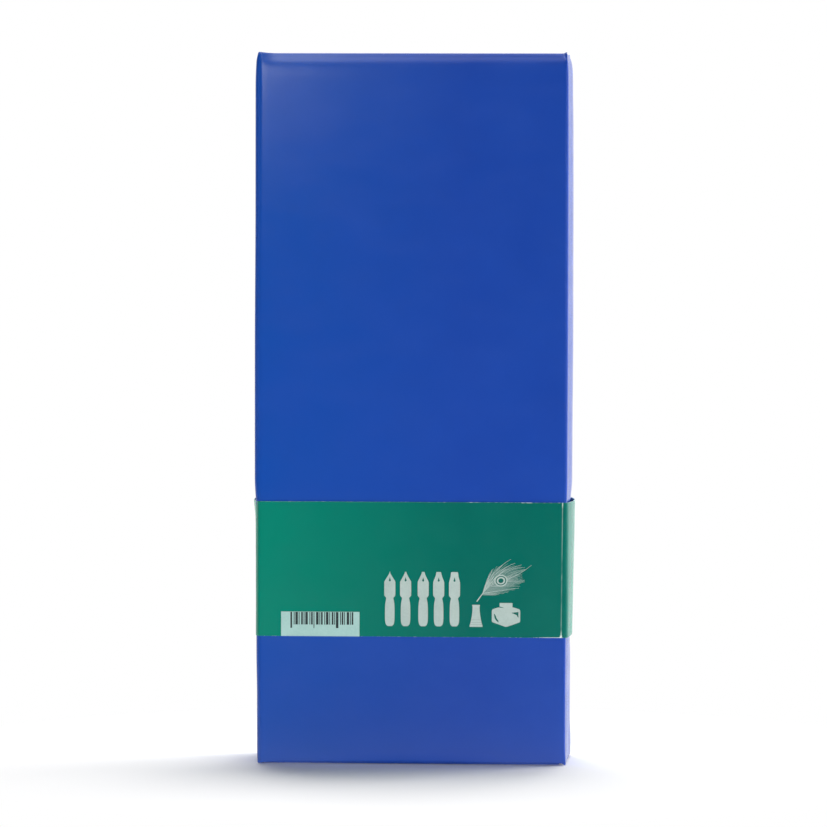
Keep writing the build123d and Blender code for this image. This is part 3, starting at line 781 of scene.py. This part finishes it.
print_foot = 55.3
nib_height = 21.8
nib_middles = (-8.7, -2.4, 4.6, 10.8, 17.1)
nib_tip_widths = (0.25, 0.65, 1.05, 1.75, 2.55)
nib_outline = (  # half width, share of the height below the tip
    (2.10, 0.175), (2.20, 0.215), (2.20, 0.41), (2.02, 0.445), (1.48, 0.475), (1.46, 0.50),
    (1.72, 0.56), (1.86, 0.64), (1.90, 0.78), (1.84, 0.90), (1.50, 0.965), (0.80, 0.995),
)
nib_hole_drop = 0.150  # share of the height from the tip to the breather hole
nib_hole = ((0.03, 1.15), (0.18, 0.50), (0.40, -0.10), (0.30, -0.45), (0.05, -0.6))  # half width, rise


def make_nib_prints():
    """A row of nibs that stand on their shanks, from a fine tip to a broad one."""
    outlines, holes = [], []
    top = print_foot + nib_height
    hole_z = top - nib_hole_drop * nib_height
    for x, tip_width in zip(nib_middles, nib_tip_widths):
        half_tip = tip_width / 2
        neck = half_tip + (nib_outline[0][0] - half_tip) * 0.42
        half = [
            (half_tip, top),
            (half_tip * 1.1 + 0.03, top - 0.025 * nib_height),
            (neck, top - 0.09 * nib_height),
        ]
        half += [(width, top - share * nib_height) for width, share in nib_outline]
        outlines.append(mirrored(smooth_path(half, 4), x))
        hole = [(width, hole_z + rise) for width, rise in nib_hole]
        holes.append(mirrored(smooth_path(hole, 4), x))
    flat_print("nib_prints", outlines, print_ink)
    flat_print("nib_print_holes", holes, print_hole, front=detail_front)


def make_stand_print():
    """The pen stand with three rings round its foot."""
    x = 25.72
    half = [
        (1.48, 64.1), (1.56, 63.95), (1.50, 63.6), (1.40, 63.3),
        (1.48, 61.4), (1.70, 59.6), (2.02, 57.8), (2.34, 56.4),
    ]
    half = smooth_path(half, 4) + [(2.52, 56.1), (2.56, print_foot)]
    flat_print("stand_print", [mirrored(half, x)], print_ink)
    rings, line = [], 0.13
    for z, width in ((58.05, 1.95), (56.95, 2.18), (56.15, 2.40)):
        rings.append([(x - width, z), (x + width, z), (x + width, z + line), (x - width, z + line)])
    flat_print("stand_print_rings", rings, print_grey, front=detail_front)


def make_pot_print():
    """The ink pot with its shades: a curved shine, a wedge and the shadow below the neck."""
    x = 37.65
    neck = [(2.48, 64.9), (2.56, 64.7), (2.56, 63.5), (2.40, 63.25)]
    body = [
        (3.5, 63.0), (5.30, 62.4), (5.62, 61.9), (5.66, 61.2),
        (5.66, 57.7), (5.4, 57.2), (0.6, 55.5), (0.2, 55.4),
    ]
    flat_print("pot_print", [mirrored(neck + body, x)], print_ink)
    shine = smooth_path([(x - 4.75, 60.7), (x - 4.55, 59.0), (x - 3.9, 57.9), (x - 2.9, 57.1)], 5)
    shine += smooth_path([(x - 3.1, 57.9), (x - 3.7, 58.7), (x - 4.1, 59.8), (x - 4.75, 60.7)], 5)[:-1]
    wedge = [(x + 2.1, 61.0), (x + 4.95, 61.35), (x + 4.95, 58.9), (x + 4.25, 60.1)]
    collar = [(x - 3.4, 63.12), (x - 0.6, 62.92), (x - 2.3, 63.45)]
    flat_print("pot_print_shades", [shine, wedge, collar], print_hole, front=detail_front)


feather_foot = (26.0, 65.4)
feather_eye = (35.6, 73.8)
feather_stem = (feather_foot, (27.6, 67.6), (29.0, 69.5), (30.6, 71.1), (32.6, 72.2), feather_eye)
# The plume's strokes come in fans that turn from the first stroke here through the others to the last.
# Each says where it leaves the stem, 0 at the foot and 1 at the eye, its bend and its tip.
upper_fan = (
    (0.30, (29.3, 72.6), (31.4, 77.4)),
    (0.44, (30.3, 74.3), (33.0, 79.2)),
    (0.56, (32.6, 76.9), (37.6, 80.8)),
    (0.70, (35.0, 78.0), (42.0, 79.6)),
    (0.84, (38.2, 78.2), (46.2, 79.3)),
)
far_fan = (
    (0.92, (38.6, 77.8), (45.6, 78.4)),
    (1.0, (39.6, 76.0), (43.9, 77.6)),
    (1.0, (40.2, 74.4), (44.0, 75.9)),
    (1.0, (39.8, 72.9), (45.4, 74.2)),
)
lower_fan = (
    (0.24, (30.4, 68.0), (33.6, 68.0)),
    (0.36, (32.0, 69.0), (37.0, 68.7)),
    (0.52, (34.6, 70.2), (41.6, 70.4)),
    (0.72, (37.6, 71.6), (44.4, 72.9)),
    (0.94, (38.6, 72.7), (45.4, 74.0)),
)
long_strokes = (  # the few that reach past the rest
    (0.40, (31.2, 77.6), (39.6, 82.4)),
    (0.50, (32.6, 77.9), (41.3, 80.8)),
    (0.60, (33.8, 77.8), (43.8, 80.1)),
    (0.95, (42.0, 75.2), (47.8, 80.1)),
    (0.30, (32.0, 69.4), (42.8, 70.9)),
)
fans = ((upper_fan, 27), (far_fan, 19), (lower_fan, 27))  # and their numbers of strokes
stem_widths = (0.40, 0.22)  # at its start and its end
barb_widths = (0.10, 0.07)
long_widths = (0.24, 0.10)
eye_turn = math.radians(12)
eye_rings = (
    (2.62, 2.36, print_ink), (2.14, 1.88, print_hole),
    (1.72, 1.50, print_ink), (1.04, 0.94, print_hole),
)
ring_relief = 0.004


def stroke(points, widths):
    """A line of changing width as a closed outline."""
    left, right = [], []
    for index, (x, z) in enumerate(points):
        before, after = points[max(index - 1, 0)], points[min(index + 1, len(points) - 1)]
        along = Vector((after[0] - before[0], after[1] - before[1])).normalized()
        width = widths[0] + (widths[1] - widths[0]) * index / (len(points) - 1)
        left.append((x - along.y * width / 2, z + along.x * width / 2))
        right.append((x + along.y * width / 2, z - along.x * width / 2))
    return left + right[::-1]


def fan_stroke(fan, share):
    """The stroke at a share of a fan's turn: its place on the stem, its bend and its tip."""
    place = share * (len(fan) - 1)
    index = min(int(place), len(fan) - 2)
    part = place - index
    (stem_a, *ends_a), (stem_b, *ends_b) = fan[index], fan[index + 1]
    ends = [tuple(a + (b - a) * part for a, b in zip(*pair)) for pair in zip(ends_a, ends_b)]
    return stem_a + (stem_b - stem_a) * part, *ends


def barb_stroke(stem, leaves, bend, tip, widths):
    """One curved barb from the stem through its bend to its tip."""
    x, z = stem[round(leaves * (len(stem) - 1))]
    path = []
    for step in range(9):
        t = step / 8
        first, middle, last = (1 - t) ** 2, 2 * t * (1 - t), t * t
        path.append(tuple(first * a + middle * b + last * c for a, b, c in zip((x, z), bend, tip)))
    return stroke(path, widths)


def make_feather_print():
    """A plume with an eye, drawn in fine strokes that leave a curved stem."""
    draw = random.Random(11)
    stem = smooth_path(feather_stem, 8)
    strokes = [stroke(stem[:26], stem_widths)]
    for fan, count in fans:
        for index in range(count):
            leaves, bend, tip = fan_stroke(fan, index / (count - 1))
            reach = draw.uniform(0.86, 1.06) if index % 2 == 0 else draw.uniform(0.4, 0.8)
            tip = tuple(b + (t - b) * reach for b, t in zip(bend, tip))
            strokes.append(barb_stroke(stem, leaves, bend, tip, barb_widths))
    for leaves, bend, tip in long_strokes:
        strokes.append(barb_stroke(stem, leaves, bend, tip, long_widths))
    flat_print("feather_print", strokes, print_ink, relief=plume_relief)
    for index, (radius_x, radius_z, material) in enumerate(eye_rings):
        outline = ellipse(*feather_eye, radius_x, radius_z, eye_turn)
        front = eye_front - ring_relief * index
        flat_print(f"feather_print_ring_{index + 1}", [outline], material, front=front)


def make_code_panel():
    """A pale panel with plain bars in a repeating rhythm, which stand for nothing."""
    left, right, top = -52.1, -20.8, 60.95
    foot = band_low.z + 0.06
    flat_print("panel_print", [[(left, foot), (right, foot), (right, top), (left, top)]], print_panel)
    widths, gaps = (0.66, 0.33, 1.0, 0.33), (0.33, 0.66, 0.33)
    first, last, long_foot, short_foot = -48.4, -23.4, 54.4, 55.8
    x, bars = first, []
    while x < last:
        width = widths[len(bars) % len(widths)]
        low = long_foot if len(bars) % 9 == 0 else short_foot
        bars.append([(x, low), (x + width, low), (x + width, top - 0.12), (x, top - 0.12)])
        x += width + gaps[len(bars) % len(gaps)]
    flat_print("panel_bars", bars, print_dark, front=detail_front)


make_nib_prints()
make_stand_print()
make_pot_print()
make_feather_print()
make_code_panel()

# ---- feather
barb_steps = 7


def vane_reach(share):
    """The vane's half width at a share of its length."""
    outline = ((0.0, 0.12), (0.3, 0.42), (0.6, 0.86), (0.78, 1.0), (0.94, 0.62), (1.0, 0.1))
    for (low, first), (high, second) in zip(outline, outline[1:]):
        if share <= high:
            return first + (second - first) * ease(share, low, high)
    return outline[-1][1]


def make_feather():
    """Two rows of tapered barbs from the shaft, dense round the eye and looser below it."""
    draw = random.Random(5)
    middle_y = (vane_low.y + vane_high.y) / 2
    half_thick = (vane_high.y - vane_low.y) / 2
    half_wide = (vane_high.x - vane_low.x) / 2 - 0.4
    length = vane_high.z - vane_low.z
    points, faces = [], []
    for side in (-1, 1):
        root_z = vane_low.z + 1.5
        while root_z < shaft_high.z - 0.6:
            share = (root_z - vane_low.z) / length
            loose = 1 - ease(share, 0.30, 0.58)
            rise = 26 - 10 * ease(share, 0.55, 1.0)
            rise *= 1 + draw.uniform(-0.06, 0.06) * (1 + 2 * loose)
            tip_z = min(root_z + rise, vane_high.z - 0.3 - draw.uniform(0, 0.8))
            reach = half_wide * vane_reach((tip_z - vane_low.z) / length)
            reach *= 1 + draw.uniform(-0.10, 0.0) * (1 + loose)
            thick = 0.26 - 0.06 * loose
            wide = 0.70 - 0.34 * loose
            drift = draw.uniform(-0.32, 0.32) * (0.6 + loose)
            curl = draw.uniform(0.85, 1.25)
            first = len(points)
            for step in range(barb_steps + 1):
                t = step / barb_steps
                out = reach * math.sin(t * math.pi / 2) ** curl
                up = (tip_z - root_z) * (0.45 * t + 0.55 * t * t)
                taper = 1.0 - 0.86 * t ** 2.2
                y = middle_y + drift * t * t * 0.8
                y = min(max(y, middle_y - half_thick + thick), middle_y + half_thick - thick)
                x, z = eye_x + side * out, root_z + up
                points += [
                    (x, y, z + wide * taper),
                    (x, y - thick * taper, z),
                    (x, y, z - wide * taper * 0.25),
                    (x, y + thick * taper, z),
                ]
            faces += grid_faces(barb_steps + 1, 4, closed_columns=True, first=first)
            last = first + 4 * barb_steps
            faces.append([first + 3, first + 2, first + 1, first])
            faces.append([last, last + 1, last + 2, last + 3])
            root_z += (0.62 + 0.75 * loose) * (1 + draw.uniform(-0.12, 0.12))
    piece = make_piece("feather_barbs", points, faces, "tray", "feather", feather_barbs)
    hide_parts("feather_vane")


make_feather()

# ---- floor, light and camera
ambient = 0.09  # the world's light on dull surfaces
room_gloss = 0.02  # how bright the room behind the camera is in reflections,
top_gloss = 3.0  # the soft box overhead
floor_gloss = 0.03  # and the floor in front of the box
seen_fade = (0.07, 0.22)  # metres from the box over which the floor turns to plain white
gloss_fade = (0.025, 0.05)  # and over which it stops being shaded in reflections
front_fade = (-0.23, -0.05)  # Y over which the reflected floor rises from dark to white
room_fade = (-0.35, 0.15)  # and the same for the reflected room, by the ray's direction
top_fade = (0.30, 0.60)  # how steeply a ray rises at the edge of the soft box


seeing = ("Camera", "Glossy", "Transmission")  # the other rays light dull surfaces


def rays(material, *kinds):
    """1 for rays of these kinds, 0 for others."""
    path = node(material, "LightPath")
    return combine(material, "MAXIMUM", *(path.outputs[f"Is {kind} Ray"] for kind in kinds))


def make_floor():
    """A pale floor that keeps the shadow near the box and turns to plain white further off."""
    mesh = bpy.data.meshes.new("floor")
    size = 8.0
    corners = [(-size, -size, 0), (size, -size, 0), (size, size, 0), (-size, size, 0)]
    mesh.from_pydata(corners, [], [(0, 1, 2, 3)])
    floor = new_object("floor", mesh)
    material = bpy.data.materials.new("floor")
    material.use_nodes = True
    material.node_tree.nodes.clear()
    place = node(material, "TexCoord").outputs["Object"]
    away = node(material, "VectorMath", {0: place}, operation="LENGTH").outputs["Value"]
    in_gloss = rays(material, "Glossy")
    far_in_gloss = combine(material, "MULTIPLY", in_gloss, spread(material, away, *gloss_fade))
    far = combine(material, "MAXIMUM", spread(material, away, *seen_fade), far_in_gloss)
    white = node(material, "BsdfDiffuse", {"Color": (0.86, 0.86, 0.87, 1)}).outputs[0]
    depth = node(material, "SeparateXYZ", {0: place}).outputs["Y"]
    room = spread(material, depth, *front_fade, floor_gloss, 1.0)
    level = combine(material, "MAXIMUM", room, spread(material, in_gloss, 0.0, 1.0, 1.0, 0.0))
    plain = node(material, "Emission", {"Color": (1, 1, 1, 1), "Strength": level}).outputs[0]
    seen = node(material, "MixShader", {0: far, 1: white, 2: plain}).outputs[0]
    result = node(material, "MixShader", {0: rays(material, *seeing), 1: white, 2: seen}).outputs[0]
    output = node(material, "OutputMaterial")
    feed(material, output.inputs["Surface"], result)
    mesh.materials.append(material)


def make_world():
    """White where it is seen, dim as light on dull surfaces, and a studio in reflections."""
    world = bpy.data.worlds.new("studio")
    world.use_nodes = True
    bpy.context.scene.world = world
    world.node_tree.nodes.clear()
    direction = node(world, "SeparateXYZ", {0: node(world, "TexCoord").outputs["Generated"]})
    sideways = combine(world, "MULTIPLY", direction.outputs["X"], 0.4)
    behind = combine(world, "ADD", direction.outputs["Y"], sideways)
    room = spread(world, behind, *room_fade, room_gloss, 1.0)
    overhead = spread(world, direction.outputs["Z"], *top_fade, 0.0, top_gloss)
    studio = combine(world, "MAXIMUM", room, overhead)
    gloss = combine(world, "MULTIPLY", rays(world, "Glossy"), studio)
    clear = rays(world, "Camera", "Transmission")
    dull = spread(world, rays(world, *seeing), 0.0, 1.0, ambient, 0.0)
    strength = combine(world, "MAXIMUM", clear, gloss, dull)
    background = node(world, "Background", {"Color": (1, 1, 1, 1), "Strength": strength})
    output = node(world, "OutputWorld")
    feed(world, output.inputs["Surface"], background.outputs[0])


def area_light(name, place, target, size_x, size_y, watts, in_gloss=False, on_dull=True):
    """A soft box that faces a target, in metres. It can be mirrored, and it can spare dull surfaces."""
    data = bpy.data.lights.new(name, "AREA")
    data.shape = "RECTANGLE"
    data.size, data.size_y, data.energy = size_x, size_y, watts
    light = new_object(name, data)
    light.location = place
    light.visible_camera = False
    light.visible_glossy = in_gloss
    light.visible_diffuse = on_dull
    light.rotation_mode = "QUATERNION"
    light.rotation_quaternion = (Vector(target) - Vector(place)).to_track_quat("-Z", "Y")


make_world()
make_floor()
area_light("key", (1.5, -1.7, 0.16), (0, 0, 0.12), 1.8, 0.5, 37)
area_light("fill", (-1.7, -1.2, 0.2), (0, 0, 0.12), 1.2, 0.6, 10)
area_light("foot", (0.0, -0.22, 0.02), (0, 0, 0.015), 0.3, 0.03, 0.08)
area_light("sheen", (-0.124, -0.47, 0.315), (-0.06, 0, 0.28), 0.06, 0.06, 0.125, in_gloss=True)
area_light("head", (-0.13, -0.53, 0.56), (-0.06, 0, 0.28), 0.14, 0.24, 0.40, in_gloss=True, on_dull=False)
area_light("overhead", (0.02, 0.60, 1.5), (0.02, 0.1, 0), 0.8, 1.0, 28)
area_light("rim", (1.45, 0.78, 0.6), (0, 0, 0.15), 1.1, 1.0, 31)


def make_camera():
    """The camera of the reference view: a long lens, a little right of the box and below its top."""
    place = Vector((112.094, -2115.066, 228.910)) * MM
    yaw, pitch, roll = 0.0532186, -0.0422727, 0.00240528
    focal_px, frame_px, sensor_mm = 5274.19, 827, 36.0
    data = bpy.data.cameras.new("camera")
    data.sensor_width = sensor_mm
    data.lens = focal_px / frame_px * sensor_mm
    data.clip_start, data.clip_end = 0.05, 50
    camera = new_object("camera", data)
    turn = Matrix.Rotation(yaw, 4, "Z") @ Matrix.Rotation(math.pi / 2 + pitch, 4, "X")
    camera.matrix_world = Matrix.Translation(place) @ turn @ Matrix.Rotation(roll, 4, "Z")
    bpy.context.scene.camera = camera


make_camera()
bpy.context.scene.view_settings.view_transform = "Standard"
